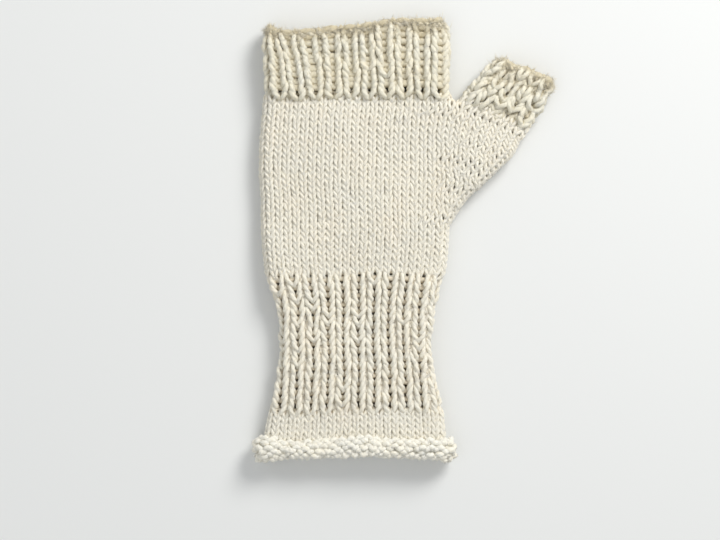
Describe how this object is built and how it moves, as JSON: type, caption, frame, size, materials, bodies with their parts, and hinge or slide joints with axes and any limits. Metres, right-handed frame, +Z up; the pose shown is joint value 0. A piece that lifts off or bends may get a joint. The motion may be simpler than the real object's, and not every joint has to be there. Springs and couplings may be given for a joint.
{
  "type": "knitted fingerless mitt",
  "caption": "Hand-knitted fingerless mitt with a rolled hem, ribbed wrist, smooth hand, thumb gusset and short ribbed thumb and finger edges.",
  "frame": {"origin": "on the resting face, under the centre line of the hand, half way between hem and finger edge", "axes": "+Z up from the surface that the mitt lies on, +Y from the wrist hem to the fingers, +X to the thumb side"},
  "size_m": [0.1415, 0.2101, 0.0138],
  "materials": {
    "wool_plain": "smooth hand-knitted undyed wool, matt and slightly fuzzy",
    "wool_rib": "one-by-one ribbing in undyed wool, matt and slightly fuzzy",
    "wool_edge": "bound-off or cast-on chain in undyed wool",
    "wool_tail": "loose end of plied wool, darned in"
  },
  "bodies": {
    "hand": {"hand_lower": "wool_plain", "hand_upper": "wool_plain", "thumb_gusset": "wool_plain", "finger_rib": "wool_rib", "finger_bind_off": "wool_edge", "finger_bind_off_tail": "wool_tail", "thumb_join_tail": "wool_tail"},
    "cuff": {"rolled_hem": "wool_plain", "cast_on_edge": "wool_edge", "wrist_band": "wool_plain", "wrist_rib": "wool_rib", "cast_on_tail": "wool_tail"},
    "thumb": {"thumb_tube": "wool_plain", "thumb_rib": "wool_rib", "thumb_bind_off": "wool_edge", "thumb_bind_off_tail": "wool_tail"}
  },
  "joints": [
    {"name": "wrist_fold", "type": "hinge", "parent": "hand", "child": "cuff", "pos_m": [0, -0.0152, 0.00585], "axis": [-1, 0, 0], "range_deg": [0, 70]},
    {"name": "thumb_swing", "type": "hinge", "parent": "hand", "child": "thumb", "pos_m": [0.0632, 0.0572, 0.00585], "axis": [0, 0, 1], "range_deg": [-20, 24]}
  ]
}
